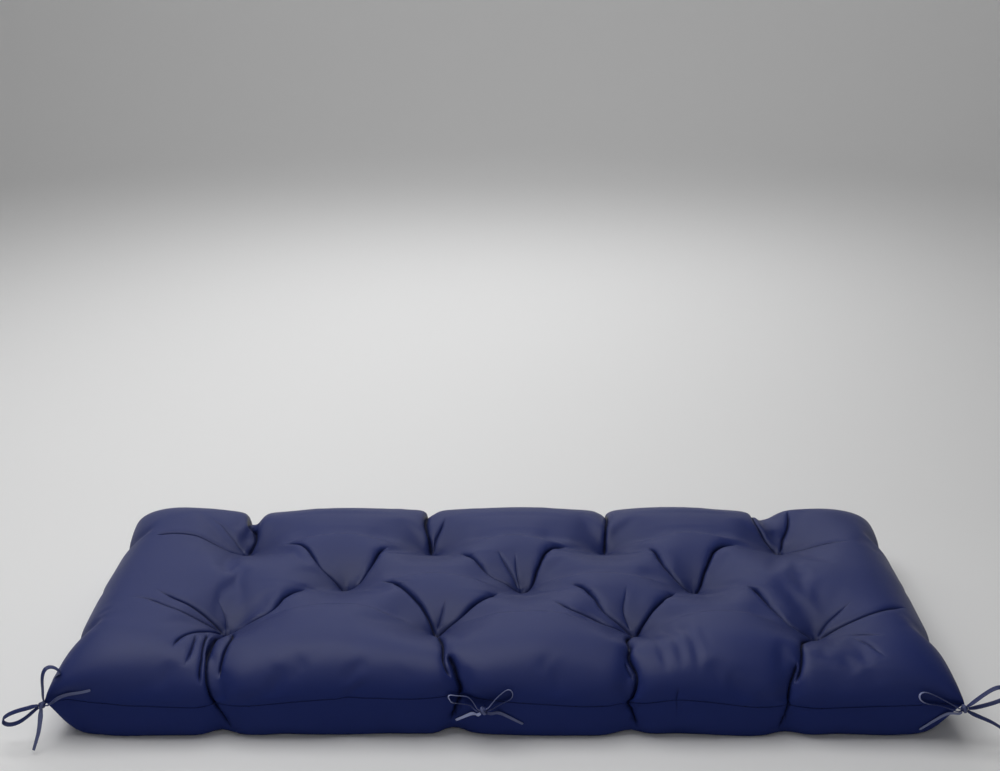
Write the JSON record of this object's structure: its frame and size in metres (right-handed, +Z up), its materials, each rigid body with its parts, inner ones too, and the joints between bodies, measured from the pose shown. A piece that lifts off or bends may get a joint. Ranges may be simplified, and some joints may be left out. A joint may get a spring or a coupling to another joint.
{
  "type": "bench cushion",
  "caption": "Long tufted seat cushion for a garden bench or porch swing, a filled pillow with a sewn edge seam and bow ties on its front edge.",
  "frame": {"origin": "under the middle of the cushion, on the surface that it rests on", "axes": "+X along the bench, to the right as seen from the front; the front edge with the ties faces -Y; +Z up"},
  "size_m": [1.3292, 0.5269, 0.1177],
  "materials": {
    "panel_cloth": "smooth woven polyester",
    "tie_tape": "narrow sewn tape"
  },
  "bodies": {
    "root": {"cushion": "panel_cloth", "left_tie_knot": "tie_tape", "left_tie_loop_up": "tie_tape", "left_tie_loop_out": "tie_tape", "left_tie_tail_down": "tie_tape", "left_tie_tail_over": "tie_tape", "middle_tie_knot": "tie_tape", "middle_tie_loop_left": "tie_tape", "middle_tie_loop_right": "tie_tape", "middle_tie_tail_left": "tie_tape", "middle_tie_tail_right": "tie_tape", "right_tie_knot": "tie_tape", "right_tie_loop_over": "tie_tape", "right_tie_loop_out": "tie_tape", "right_tie_tail_in": "tie_tape", "right_tie_tail_out": "tie_tape"}
  },
  "joints": []
}
